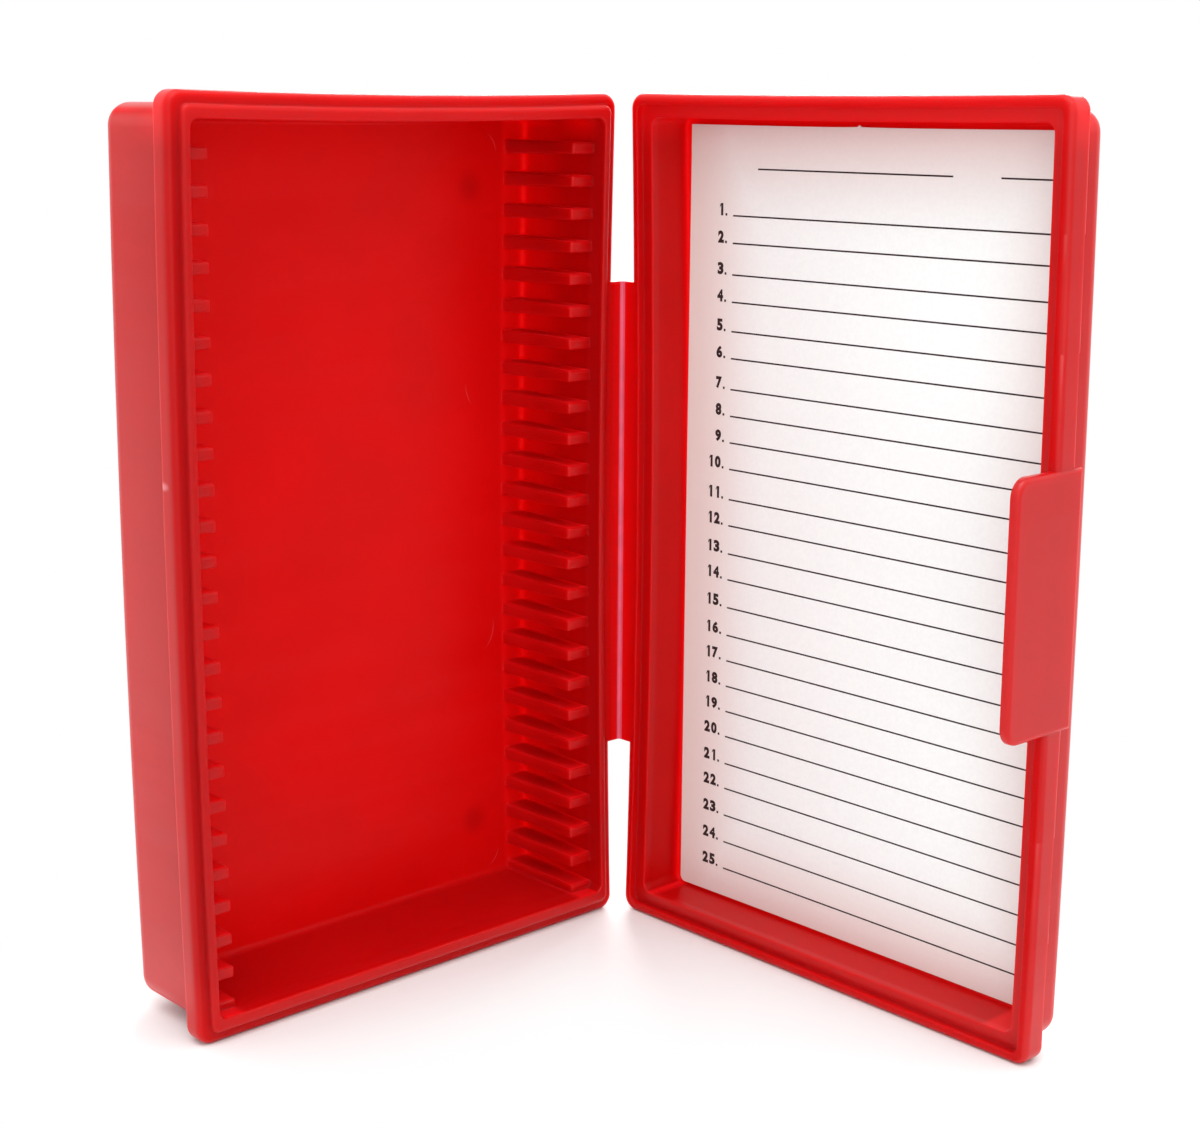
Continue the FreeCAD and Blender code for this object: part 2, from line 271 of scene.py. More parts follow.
def noise(tree, vector, scale, detail=2.0, roughness=0.5):
    node = add(tree, "ShaderNodeTexNoise", {
        "Vector": vector, "Scale": scale, "Detail": detail, "Roughness": roughness})
    return node.outputs["Fac"]


def smooth_range(tree, value, low, high, to_low=0.0, to_high=1.0):
    node = add(tree, "ShaderNodeMapRange", {
        "Value": value, "From Min": low, "From Max": high,
        "To Min": to_low, "To Max": to_high}, interpolation_type="SMOOTHSTEP")
    return node.outputs["Result"]


def mix_colour(tree, share, a, b, blend="MIX"):
    node = add(tree, "ShaderNodeMix", {0: share, 6: a, 7: b}, data_type="RGBA", blend_type=blend)
    return node.outputs[2]


def bump(tree, height, distance, strength, normal=None):
    node = add(tree, "ShaderNodeBump", {
        "Height": height, "Distance": distance, "Strength": strength})
    if normal:
        tree.links.new(normal, node.inputs["Normal"])
    return node.outputs["Normal"]


def opaque(colour):
    return (*colour, 1.0)


def new_group(name, inputs, outputs):
    """An empty node group: its tree, its input sockets and its output node."""
    tree = bpy.data.node_groups.new(name, "ShaderNodeTree")
    for label, kind, default in inputs:
        socket = tree.interface.new_socket(label, in_out="INPUT", socket_type=kind)
        if default is not None:
            socket.default_value = default
    for label, kind in outputs:
        tree.interface.new_socket(label, in_out="OUTPUT", socket_type=kind)
    start = tree.nodes.new("NodeGroupInput")
    end = tree.nodes.new("NodeGroupOutput")
    return tree, start.outputs, end


def place_group(tree, group, links):
    return add(tree, "ShaderNodeGroup", links, node_tree=group).outputs


def object_place(tree):
    """Each point's place in its object, which is its place in the frame at rest."""
    return add(tree, "ShaderNodeTexCoord").outputs["Object"]


def product(tree, first, *others):
    """Several masks multiplied together."""
    for other in others:
        first = math_node(tree, "MULTIPLY", first, other)
    return first


def darker(colour, share):
    return opaque([value * share for value in colour])


# ---- Effects shared by the materials ----

STREAK_SCALE = 230.0         # streaks to the metre, up the object
STREAK_STRETCH = (0.07, 0.07, 1.0)
STREAK_PATCHES = 28.0        # patches to the metre where the streaks show
LEAST_STREAK = 0.15          # strength of the streaks between those patches


def moulded_skin():
    """Fine grain, slow clouds and level streaks that a mould leaves in a plastic's surface."""
    name = "Moulded skin"
    if name in bpy.data.node_groups:
        return bpy.data.node_groups[name]
    tree, given, end = new_group(
        name,
        [("Vector", "NodeSocketVector", None), ("Grain Size", "NodeSocketFloat", 0.0005),
         ("Flow Size", "NodeSocketFloat", 0.016)],
        [("Clouds", "NodeSocketFloat"), ("Grain", "NodeSocketFloat"),
         ("Streaks", "NodeSocketFloat")])
    grain_scale = math_node(tree, "DIVIDE", 1.0, given["Grain Size"])
    flow_scale = math_node(tree, "DIVIDE", 1.0, given["Flow Size"])
    clouds = noise(tree, given["Vector"], flow_scale, detail=3.0)
    grain = noise(tree, given["Vector"], grain_scale, detail=2.0)
    tree.links.new(smooth_range(tree, clouds, 0.3, 0.7), end.inputs["Clouds"])
    tree.links.new(grain, end.inputs["Grain"])
    level = vector_node(tree, "MULTIPLY", given["Vector"], STREAK_STRETCH)
    streaks = noise(tree, level, STREAK_SCALE, detail=2.0)
    streaks = smooth_range(tree, streaks, 0.25, 0.75, -1.0, 1.0)
    patches = noise(tree, given["Vector"], STREAK_PATCHES, detail=1.0)
    patches = smooth_range(tree, patches, 0.4, 0.7, LEAST_STREAK, 1.0)
    tree.links.new(math_node(tree, "MULTIPLY", streaks, patches), end.inputs["Streaks"])
    return tree


def outer_face():
    """Mask of a half's outer faces, and the distance in from its long sides."""
    name = "Outer face"
    if name in bpy.data.node_groups:
        return bpy.data.node_groups[name]
    tree, given, end = new_group(
        name,
        [("Vector", "NodeSocketVector", None), ("Bow", "NodeSocketFloat", 0.0),
         ("Half Width", "NodeSocketFloat", 0.04), ("Half Height", "NodeSocketFloat", 0.07),
         ("Depth", "NodeSocketFloat", 0.02)],
        [("Mask", "NodeSocketFloat"), ("Inset", "NodeSocketFloat")])
    across, behind, up = add(tree, "ShaderNodeSeparateXYZ", {0: given["Vector"]}).outputs
    rise = math_node(tree, "DIVIDE", up, given["Half Height"])
    mid_share = math_node(tree, "SUBTRACT", 1.0, math_node(tree, "MULTIPLY", rise, rise))
    across = math_node(tree, "MULTIPLY_ADD", given["Bow"], mid_share, across)
    off_middle = math_node(tree, "ABSOLUTE", across)
    past_side = math_node(tree, "SUBTRACT", off_middle, given["Half Width"])
    off_middle = math_node(tree, "ABSOLUTE", up)
    past_end = math_node(tree, "SUBTRACT", off_middle, given["Half Height"])
    past = math_node(tree, "MAXIMUM", past_side, past_end)
    side = smooth_range(tree, past, -2.8 * MM, -2.2 * MM)
    proud = smooth_range(tree, past, 0.2 * MM, 0.8 * MM)
    reach = math_node(tree, "MAXIMUM", smooth_range(tree, behind, 0.1 * MM, 2.2 * MM), proud)
    side = math_node(tree, "MULTIPLY", side, reach)
    past_back = math_node(tree, "SUBTRACT", behind, given["Depth"])
    back = smooth_range(tree, past_back, -1.0 * MM, -0.5 * MM)
    tree.links.new(math_node(tree, "MAXIMUM", side, back), end.inputs["Mask"])
    tree.links.new(math_node(tree, "MULTIPLY", past_side, -1.0), end.inputs["Inset"])
    return tree


def soft_spot():
    """Soft-edged oval mask about a point."""
    name = "Soft spot"
    if name in bpy.data.node_groups:
        return bpy.data.node_groups[name]
    tree, given, end = new_group(
        name,
        [("Vector", "NodeSocketVector", None), ("Centre", "NodeSocketVector", None),
         ("Size", "NodeSocketVector", None)],
        [("Mask", "NodeSocketFloat")])
    away = vector_node(tree, "SUBTRACT", given["Vector"], given["Centre"])
    away = vector_node(tree, "DIVIDE", away, given["Size"])
    far = vector_node(tree, "LENGTH", away)
    tree.links.new(smooth_range(tree, far, 0.15, 1.0, 1.0, 0.0), end.inputs["Mask"])
    return tree


# ---- Materials ----

OUTER_GLOSS = 0.55           # coat weight of the plastic's outer faces
MOUTH_GLOSS = 0.22           # the same at the mouth: rims, tongue and rib ends
RIM_GLOSS = 0.15             # share of that left on the rim's flat front
TAB_FADE = 0.5 * MM          # the tab's gloss fades in over this, in front of the tongue
GLOSS_BEHIND = (0.84, 1.12)  # outer gloss near the mouth and at the back
GLOSS_HEIGHT = (1.14, 0.96)  # outer gloss at mid-height and at the ends
GLOSS_STREAKS = (0.93, 1.07)
EDGE_HIGHLIGHT_SHARE = 0.35         # share of the painted edge highlight right on an edge
EDGE_TURN = (0.7, 0.985)     # cosines of the rounding's turn, where it is an edge and isn't
STREAK_PALENESS = 0.09       # share of the streak and edge highlight colour in the palest streaks
CLOUD_SHADE = 0.94           # colour of the darkest clouds, as a share of the plain colour
CLOUD_ROUGHNESS = 0.03       # how far the clouds change the roughness, up and down
GRAIN_HEIGHT = 0.01 * MM


def red_plastic(name, settings, shape, marks=None):
    """Moulded red polypropylene: cloudy, finely grained, and glossier on its outer faces."""
    material, tree, shader = new_material(name)
    place = object_place(tree)
    turned = add(tree, "ShaderNodeMapping", {
        "Vector": place, "Location": shape["middle"], "Rotation": (0, 0, shape["turn"])},
        vector_type="TEXTURE").outputs[0]
    skin = place_group(tree, moulded_skin(), {
        "Vector": place, "Grain Size": settings.grain_size, "Flow Size": settings.flow_size})
    rounded = add(tree, "ShaderNodeBevel", {"Radius": settings.edge_radius}, samples=6)
    deep = darker(settings.colour, CLOUD_SHADE)
    colour = mix_colour(tree, skin["Clouds"], deep, opaque(settings.colour))
    faint = smooth_range(tree, skin["Streaks"], -1.0, 1.0, 0.0, STREAK_PALENESS)
    colour = mix_colour(tree, faint, colour, opaque(settings.edge_colour))
    outer = place_group(tree, outer_face(), {
        "Vector": turned, "Bow": shape["bow"], "Half Width": shape["half_width"],
        "Half Height": shape["half_height"], "Depth": shape["depth"]})
    colour = lit_through(tree, turned, outer, shape, settings, colour)
    # Painted highlight along every edge, where the rounding turns
    turn = vector_node(tree, "DOT_PRODUCT", rounded.outputs[0],
                       add(tree, "ShaderNodeNewGeometry").outputs["True Normal"])
    edge = smooth_range(tree, turn, *EDGE_TURN, EDGE_HIGHLIGHT_SHARE, 0.0)
    colour = mix_colour(tree, edge, colour, opaque(settings.edge_colour))
    if marks:
        colour = marks(tree, place, settings, colour)
    tree.links.new(colour, shader.inputs["Base Color"])
    low, high = settings.roughness - CLOUD_ROUGHNESS, settings.roughness + CLOUD_ROUGHNESS
    roughness = smooth_range(tree, skin["Clouds"], 0.0, 1.0, low, high)
    tree.links.new(roughness, shader.inputs["Roughness"])
    normal = bump(tree, skin["Grain"], GRAIN_HEIGHT, 0.5, rounded.outputs[0])
    tree.links.new(normal, shader.inputs["Normal"])
    coat = gloss(tree, turned, outer["Mask"], skin["Streaks"])
    tree.links.new(coat, shader.inputs["Coat Weight"])
    shader.inputs["Coat Roughness"].default_value = 0.32
    shader.inputs["Coat IOR"].default_value = 1.6
    shader.inputs["IOR"].default_value = 1.49
    shader.inputs["Specular IOR Level"].default_value = 0.1
    shader.inputs["Subsurface Weight"].default_value = 1.0
    shader.inputs["Subsurface Radius"].default_value = (1.0, 0.08, 0.08)
    shader.inputs["Subsurface Scale"].default_value = 5 * MM
    return material


# Where each fade of the painted glow and painted shade starts and ends
TOP_GLOW = (2 * MM, 9 * MM)               # down from the top
TOP_GLOW_START = (0.0, 2 * MM)            # into the half, from its mouth
TOP_GLOW_END = (4 * MM, 12 * MM)
MOUTH_SHADE = (-1 * MM, 4.5 * MM)
WALL_SHADE = (4 * MM, 18 * MM)
RIB_TOP_DEPTH = (6 * MM, 14 * MM)
BOTTOM_UNSHADED = (3 * MM, 14 * MM)       # up from the bottom
ABOVE_BOTTOM_WALL = (2.5 * MM, 4 * MM)
RIB_ROOTS = (2.4 * MM, 3.0 * MM)          # in from the half's outer side
RIB_ENDS = (7.0 * MM, 8.5 * MM)


def lit_through(tree, turned, outer, shape, settings, colour):
    """The colour with painted light by the mouth's top and round the ribs, and painted shade by
    its sides.
    """
    _, behind, up = add(tree, "ShaderNodeSeparateXYZ", {0: turned}).outputs
    below_top = math_node(tree, "SUBTRACT", shape["half_height"], up)
    above_bottom = math_node(tree, "ADD", shape["half_height"], up)
    top = smooth_range(tree, below_top, *TOP_GLOW, 1.0, 0.0)
    bottom = smooth_range(tree, above_bottom, *BOTTOM_UNSHADED, 0.8, 0.0)

    # Painted shade at the sides of the mouth, which fades out near its top and bottom
    mouth = math_node(tree, "MAXIMUM", smooth_range(tree, behind, *MOUTH_SHADE, 1.0, 0.0),
                      smooth_range(tree, behind, *WALL_SHADE, 0.45, 0.0))
    ends = math_node(tree, "MAXIMUM", top, bottom)
    beside = math_node(tree, "SUBTRACT", mouth, ends, clamp=True)
    shade = opaque([shape["mouth_shade"]] * 3)
    colour = mix_colour(tree, beside, colour, shade, "MULTIPLY")

    # Painted glow at the top of the mouth and between the ribs
    glow = math_node(tree, "MINIMUM", smooth_range(tree, behind, *TOP_GLOW_START, 0.1, 1.0),
                     smooth_range(tree, behind, *TOP_GLOW_END, 1.0, 0.0))
    zone = product(tree, smooth_range(tree, outer["Inset"], *RIB_ROOTS),
                   smooth_range(tree, outer["Inset"], *RIB_ENDS, 1.0, 0.0),
                   math_node(tree, "SUBTRACT", 1.0, outer["Mask"]))
    ribs = product(tree, zone, smooth_range(tree, behind, *shape["glow_depth"], 0.0, 0.6))
    thin = math_node(tree, "MAXIMUM", product(tree, top, glow), ribs)
    colour = mix_colour(tree, thin, colour, opaque(settings.thin_colour))

    # Painted light on the ribs' upper faces
    normal = add(tree, "ShaderNodeTexCoord").outputs["Normal"]
    level = add(tree, "ShaderNodeSeparateXYZ", {0: normal}).outputs["Z"]
    tops = product(tree, smooth_range(tree, level, 0.9, 0.99), zone,
                   smooth_range(tree, above_bottom, *ABOVE_BOTTOM_WALL),
                   smooth_range(tree, behind, *RIB_TOP_DEPTH, 1.0, 0.35))
    return mix_colour(tree, tops, colour, opaque(settings.rib_top_colour))


def gloss(tree, turned, mask, streaks):
    """Coat weight of a half: most on its outer faces and tab, less round its mouth."""
    _, behind, up = add(tree, "ShaderNodeSeparateXYZ", {0: turned}).outputs
    tab = smooth_range(tree, behind, -TONGUE_HEIGHT - TAB_FADE, -TONGUE_HEIGHT, 1.0, 0.0)
    off_middle = math_node(tree, "ABSOLUTE", up)
    outer = product(tree, math_node(tree, "MAXIMUM", mask, tab), OUTER_GLOSS,
                    smooth_range(tree, behind, 3 * MM, 20 * MM, *GLOSS_BEHIND),
                    smooth_range(tree, off_middle, 5 * MM, 55 * MM, *GLOSS_HEIGHT),
                    smooth_range(tree, streaks, -1.0, 1.0, *GLOSS_STREAKS))
    off_rim = math_node(tree, "ABSOLUTE", behind)
    mouth = product(tree, smooth_range(tree, behind, 2.2 * MM, 3.2 * MM, MOUTH_GLOSS, 0.0),
                    smooth_range(tree, off_rim, 0.05 * MM, 0.15 * MM, RIM_GLOSS, 1.0))
    return math_node(tree, "MAXIMUM", outer, mouth)


# The tray's marks, by their places across the frame and up it, in mm
FLOOR_THICKNESS = 1.5 * MM
TRAY_FLOOR = TRAY_HIGH.y - FLOOR_THICKNESS
PIN_MARKS = ((20.8, 124.7), (20.8, 14.7))     # dark where the mould's pins met the floor
PIN_SIZE = Vector((3.6, 2.0, 3.6)) * MM
PIN_SHADE = 0.8
SCRATCH_WEAR = 0.2           # share of the worn colour in a scratch
SCRATCH_EDGES = (0.04 * MM, 0.16 * MM)        # a scratch's full and vanishing half width
NICK_WEAR = 0.7              # the same in a nick
SCRATCHES = (                                 # two ends, and the bulge between them
    ((24.8, 133.3), (26.5, 130.3), -0.35), ((19.6, 91.9), (20.8, 88.5), 0.3),
    ((23.6, 45.4), (25.3, 50.2), 0.7), ((24.3, 5.4), (26.3, 8.1), 0.4))
NICKS = (                                     # centre and size, where the rim joins the wall
    ((-48.2, 37.2, 84.8), (3.0, 2.2, 0.9)), ((-48.2, 38.0, 83.9), (3.0, 0.8, 2.2)),
    ((-48.2, 38.0, 55.2), (3.0, 0.9, 1.6)))


def tray_marks(tree, place, settings, colour):
    """The tray's colour with its pin marks, scratches and nicks."""
    dark = darker(settings.colour, PIN_SHADE)
    for x, z in PIN_MARKS:
        spot = place_group(tree, soft_spot(), {
            "Vector": place, "Centre": (x * MM, TRAY_FLOOR, z * MM), "Size": PIN_SIZE})["Mask"]
        colour = mix_colour(tree, spot, colour, dark)
    worn = 0.0
    for start, end, bulge in SCRATCHES:
        worn = math_node(tree, "MAXIMUM", worn, scratch(tree, place, start, end, bulge))
    worn = math_node(tree, "MULTIPLY", worn, SCRATCH_WEAR)
    for centre, size in NICKS:
        spot = place_group(tree, soft_spot(), {
            "Vector": place, "Centre": Vector(centre) * MM, "Size": Vector(size) * MM})["Mask"]
        worn = math_node(tree, "MAXIMUM", worn, math_node(tree, "MULTIPLY", spot, NICK_WEAR))
    return mix_colour(tree, worn, colour, opaque(settings.worn_colour))


def scratch(tree, place, start, end, bulge):
    """Mask of a fine arc on the tray's floor, through two ends and bulging by `bulge`."""
    start, end = (Vector((x, 0, z)) * MM for x, z in (start, end))
    middle, along = (start + end) / 2, end - start
    bulge *= MM
    half = along.length / 2
    radius = (half ** 2 + bulge ** 2) / (2 * abs(bulge))
    side = Vector((along.z, 0, -along.x)).normalized() * (1 if bulge > 0 else -1)
    hub = middle - side * (radius - abs(bulge))
    level = vector_node(tree, "MULTIPLY", place, (1, 0, 1))
    off_arc = math_node(tree, "SUBTRACT", vector_node(tree, "DISTANCE", level, hub), radius)
    line = smooth_range(tree, math_node(tree, "ABSOLUTE", off_arc), *SCRATCH_EDGES, 1.0, 0.0)
    crest = middle + side * abs(bulge) * 0.5 + Vector((0, TRAY_FLOOR, 0))
    near = place_group(tree, soft_spot(), {
        "Vector": place, "Centre": crest, "Size": (half * 1.3, 1 * MM, half * 1.3)})["Mask"]
    return math_node(tree, "MULTIPLY", line, near)


WEB_FLOW = 3 * MM            # size of the clouds in the thin web
WEB_CLOUD_SHADE = 0.85


def web_plastic(settings, plastic):
    """The same plastic, so thin that light shines through it: that light is painted into its
    colour.
    """
    material, tree, shader = new_material("hinge_film")
    place = object_place(tree)
    skin = place_group(tree, moulded_skin(), {
        "Vector": place, "Grain Size": plastic.grain_size, "Flow Size": WEB_FLOW})
    deep = darker(settings.colour, WEB_CLOUD_SHADE)
    colour = mix_colour(tree, skin["Clouds"], deep, opaque(settings.colour))
    tree.links.new(colour, shader.inputs["Base Color"])
    tree.links.new(bump(tree, skin["Grain"], GRAIN_HEIGHT, 0.5), shader.inputs["Normal"])
    shader.inputs["Roughness"].default_value = 0.4
    shader.inputs["IOR"].default_value = 1.49
    return material


FIBRE_SCALE = 2600.0         # fibres, mottles and ink specks to the metre
MOTTLE_SCALE = 1700.0
SPECK_SCALE = 9000.0
FIBRE_HEIGHT = 0.02 * MM
MOTTLE_SHADE = 0.975
PAINTED_SHADE_REACH = 18 * MM          # painted shade and reddish reflected light reach this far in from the edges
PAINTED_SHADE_TINT = (0.87, 0.70, 0.67)    # the paper's colour under the painted shade right at its edge, as shares
WORN_INK = 5.0               # colour of the ink's specks, as a share of the ink


def card_paper(settings):
    """Uncoated white card with a faint fibre, and painted shade and reddish light towards its
    edges.
    """
    material, tree, shader = new_material("card_paper")
    place = object_place(tree)
    fibre = noise(tree, place, FIBRE_SCALE, detail=4.0, roughness=0.6)
    mottle = smooth_range(tree, noise(tree, place, MOTTLE_SCALE, detail=3.0), 0.35, 0.65)
    paper = settings.paper
    colour = mix_colour(tree, mottle, darker(paper, MOTTLE_SHADE), opaque(paper))
    _, y, z = add(tree, "ShaderNodeSeparateXYZ", {0: place}).outputs
    # Painted shade with reddish reflected light near each edge, most at the hinge side
    edges = 0.0
    for distance, share in (    # hinge side, latch side, top and bottom
            (math_node(tree, "SUBTRACT", CARD_HIGH.y, y), 1.0),
            (math_node(tree, "SUBTRACT", y, CARD_LOW.y), 0.55),
            (math_node(tree, "SUBTRACT", CARD_HIGH.z, z), 0.55),
            (math_node(tree, "SUBTRACT", z, CARD_LOW.z), 0.7)):
        near = smooth_range(tree, distance, 0.0, PAINTED_SHADE_REACH, share, 0.0)
        edges = math_node(tree, "MAXIMUM", edges, near)
    shaded_paper = opaque([value * share for value, share in zip(paper, PAINTED_SHADE_TINT)])
    colour = mix_colour(tree, edges, colour, shaded_paper)
    tree.links.new(colour, shader.inputs["Base Color"])
    tree.links.new(bump(tree, fibre, FIBRE_HEIGHT, 0.6), shader.inputs["Normal"])
    shader.inputs["Roughness"].default_value = 0.8
    shader.inputs["Specular IOR Level"].default_value = 0.3
    return material


def card_ink(settings):
    """Dark matt printing ink, slightly broken by the card's fibre."""
    material, tree, shader = new_material("card_ink")
    place = object_place(tree)
    specks = smooth_range(tree, noise(tree, place, SPECK_SCALE), 0.55, 0.8)
    worn = opaque([min(1.0, value * WORN_INK) for value in settings.ink])
    colour = mix_colour(tree, specks, opaque(settings.ink), worn)
    tree.links.new(colour, shader.inputs["Base Color"])
    shader.inputs["Roughness"].default_value = 0.75
    return material


def put_on(obj, material):
    """The material in every slot of the object."""
    if not obj.data.materials:
        obj.data.materials.append(material)
    for slot in obj.material_slots:
        slot.material = material


# ---- Mesh helpers ----

SHARP_ANGLE = pi / 5


def new_piece(name, mesh, material):
    obj = bpy.data.objects.new(name, mesh)
    bpy.context.scene.collection.objects.link(obj)
    mesh.materials.append(material)
    return obj


def sheet_mesh(name, rows):
    """A closed sheet from rows of (front, back) point pairs."""
    bm = bmesh.new()
    front = [[bm.verts.new(pair[0]) for pair in row] for row in rows]
    back = [[bm.verts.new(pair[1]) for pair in row] for row in rows]
    for i in range(len(rows) - 1):
        for j in range(len(rows[0]) - 1):
            bm.faces.new((front[i][j], front[i][j + 1], front[i + 1][j + 1], front[i + 1][j]))
            bm.faces.new((back[i][j], back[i + 1][j], back[i + 1][j + 1], back[i][j + 1]))
    rim_front = border(front)
    rim_back = border(back)
    for k, corner in enumerate(rim_front):
        after = (k + 1) % len(rim_front)
        bm.faces.new((rim_front[after], corner, rim_back[k], rim_back[after]))
    bmesh.ops.recalc_face_normals(bm, faces=bm.faces)
    mesh = bpy.data.meshes.new(name)
    bm.to_mesh(mesh)
    bm.free()
    mesh.shade_smooth()
    mesh.set_sharp_from_angle(angle=SHARP_ANGLE)
    return mesh


def border(grid):
    """The outer points of a grid, in order round it."""
    top, bottom = grid[0], grid[-1]
    right = [row[-1] for row in grid[1:-1]]
    left = [row[0] for row in grid[1:-1]]
    return top + right + bottom[::-1] + left[::-1]


# ---- Card ----
# On the card, `across` runs from its hinge side and `up` from its lower edge.

CARD_WIDTH = CARD_HIGH.y - CARD_LOW.y
CARD_HEIGHT = CARD_HIGH.z - CARD_LOW.z
CARD_THICKNESS = CARD_HIGH.x - CARD_LOW.x
CARD_CORNER = 1.0 * MM
CORNER_STEPS = 6
CARD_CELL = 1.5 * MM         # step of the card's and the lines' meshes
INK_HEIGHT = 0.012 * MM      # the printing stands this far off the card
LIFT_FADE = 22 * MM          # the lift has mostly gone this far from the hinge side
LIFT_LOST = 0.6              # share of the lift that is gone at the card's top
EDGE_CUSP = 35.5 * MM        # where two shallow hollows of the top edge meet
EDGE_HOLLOW = 0.12 * MM      # depth of those hollows
NIB_HEIGHT = 0.25 * MM       # torn nib where they meet
NIB_HALF_WIDTH = 0.35 * MM
TOP_RISE = 0.5 * MM          # nib's tip over the plain card's top edge

NUMBER_COUNT = 25
NUMBER_END = 8.5 * MM        # hinge side to the full stops
LINE_START = 9.8 * MM        # hinge side to the lines
LINE_END_MARGIN = 3.0 * MM   # lines to the latch side
PRINT_SLANT = 0.6 * MM       # the printing leans this far towards the hinge, foot to top
NUMBER_RISE = -0.05 * MM     # line to the feet of its number
DIGIT_WEIGHT = 0.06          # how far a digit's outline is thickened, as a share of its size
DIGIT_GAP = 0.26 * MM
ONE_WIDTH = 0.37             # the bar of a 1, as a share of the other digits' width
ONE_FLAG = ((0.0, 1.0), (0.0, 0.84), (-0.55, 0.62), (-0.55, 0.80))    # its corners, as shares
NARROW_SHIFT = 0.3           # share of a narrow digit's spare width left on its right
WIDE_GAPS = {2: 0.67, 6: 0.67, 10: 0.67, 4: 0.36, 12: 0.36, 14: 0.36, 15: 0.36,
             20: 0.36, 22: 0.36, 23: 0.36, 24: 0.36}    # added after these lines, in mm
HEADER_GAP = 6.65 * MM       # card's top edge to the header's lines
HEADER_LINES = ((15.1 * MM, 53.9 * MM), (62.5 * MM, CARD_WIDTH - LINE_END_MARGIN))


def card_lift(across, up, lift):
    """How far the card's front stands off its flat place."""
    share = up / CARD_HEIGHT
    return lift * exp(-across / LIFT_FADE) * (1 - LIFT_LOST * share)


def print_point(across, up, lift):
    """A point of the printing, which leans slightly over the card."""
    return card_point(across + PRINT_SLANT * (0.5 - up / CARD_HEIGHT), up, lift, INK_HEIGHT)


def card_point(across, up, lift, proud=0.0):
    off_floor = card_lift(across, up, lift) + proud
    return Vector((CARD_LOW.x - off_floor, CARD_HIGH.y - across, CARD_LOW.z + up))


def top_edge(across):
    """Height of the card's top edge: two shallow hollows that meet at a small nib."""
    span = EDGE_CUSP if across < EDGE_CUSP else CARD_WIDTH - EDGE_CUSP
    off_nib = abs(across - EDGE_CUSP)
    hollow = EDGE_HOLLOW * sin(pi * min(1.0, off_nib / span) ** 0.5)
    return CARD_HEIGHT + TOP_RISE - hollow - NIB_HEIGHT * min(1.0, off_nib / NIB_HALF_WIDTH)


def corner_inset(up):
    """How far the rounded lower corners draw the card's sides in at this height."""
    if up >= CARD_CORNER:
        return 0.0
    return CARD_CORNER - sqrt(CARD_CORNER ** 2 - (CARD_CORNER - up) ** 2)


def spaced(length, step):
    """Even shares from 0 to 1, about a step apart over a length."""
    count = max(1, round(length / step))
    return [k / count for k in range(count + 1)]


def card_columns():
    """Even shares across the card, with a few more at the nib of its top edge."""
    nib = [(EDGE_CUSP + side * NIB_HALF_WIDTH) / CARD_WIDTH for side in (-1, 0, 1)]
    even = [k for k in spaced(CARD_WIDTH, CARD_CELL) if min(abs(k - n) for n in nib) > 0.004]
    return sorted(even + nib)


def card_rows(lift):
    """Front and back points of the card, from its lower edge up."""
    corner_shares = [(1 - cos(pi / 2 * k / CORNER_STEPS)) * CARD_CORNER / CARD_HEIGHT
                     for k in range(CORNER_STEPS)]
    first = CARD_CORNER / CARD_HEIGHT
    shares = corner_shares + [first + (1 - first) * k
                              for k in spaced(CARD_HEIGHT - CARD_CORNER, CARD_CELL)]
    rows = []
    for share in shares:
        inset = corner_inset(share * CARD_HEIGHT)
        row = []
        for k in card_columns():
            across = inset + k * (CARD_WIDTH - 2 * inset)
            front = card_point(across, share * top_edge(across), lift)
            row.append((front, front + Vector((CARD_THICKNESS, 0, 0))))
        rows.append(row)
    return rows


def digit_outline(digit, width, height):
    """The flat faces of a bold digit, as (points, faces), with its lower left at the origin."""
    curve = bpy.data.curves.new("digit", "FONT")
    curve.body = digit
    curve.resolution_u = 4
    curve.offset = DIGIT_WEIGHT
    holder = bpy.data.objects.new("digit", curve)
    mesh = bpy.data.meshes.new_from_object(holder)
    points = [vertex.co.copy() for vertex in mesh.vertices]
    faces = [tuple(face.vertices) for face in mesh.polygons]
    bpy.data.objects.remove(holder)
    bpy.data.curves.remove(curve)
    bpy.data.meshes.remove(mesh)
    low = Vector((min(p.x for p in points), min(p.y for p in points)))
    high = Vector((max(p.x for p in points), max(p.y for p in points)))
    if digit == "1":
        width *= ONE_WIDTH
    points = [((p.x - low.x) / (high.x - low.x) * width,
               (p.y - low.y) / (high.y - low.y) * height) for p in points]
    if digit == "1":
        faces.append(tuple(range(len(points), len(points) + len(ONE_FLAG))))
        points += [(x * width, y * height) for x, y in ONE_FLAG]
    return points, faces


def number_shapes(number, settings):
    """Outlines of a number's digits and full stop, each with its place before NUMBER_END."""
    stop = settings.stop_width
    square = [(0, 0), (stop, 0), (stop, stop), (0, stop)]
    shapes = [((square, [(0, 1, 2, 3)]), -stop)]
    right = -stop - DIGIT_GAP
    for digit in reversed(str(number)):
        outline = digit_outline(digit, settings.digit_width, settings.digit_height)
        widest = max(x for x, _ in outline[0])
        inset = (settings.digit_width - widest) * NARROW_SHIFT
        shapes.append((outline, right - inset - widest))
        right -= settings.digit_width + DIGIT_GAP
    return shapes


def line_heights(settings):
    """Height of each numbered line above the card's lower edge."""
    up = CARD_HEIGHT - settings.first_line
    heights = []
    for number in range(1, NUMBER_COUNT + 1):
        heights.append(up)
        up -= settings.line_gap + WIDE_GAPS.get(number, 0.0) * MM
    return heights


def add_line(bm, settings, start, end, up):
    """A ruled line as a strip that follows the card."""
    half = settings.line_width / 2
    before = None
    for k in spaced(end - start, CARD_CELL):
        across = start + k * (end - start)
        pair = [bm.verts.new(print_point(across, up + side, settings.hinge_lift))
                for side in (-half, half)]
        if before:
            bm.faces.new((before[0], before[1], pair[1], pair[0]))
        before = pair


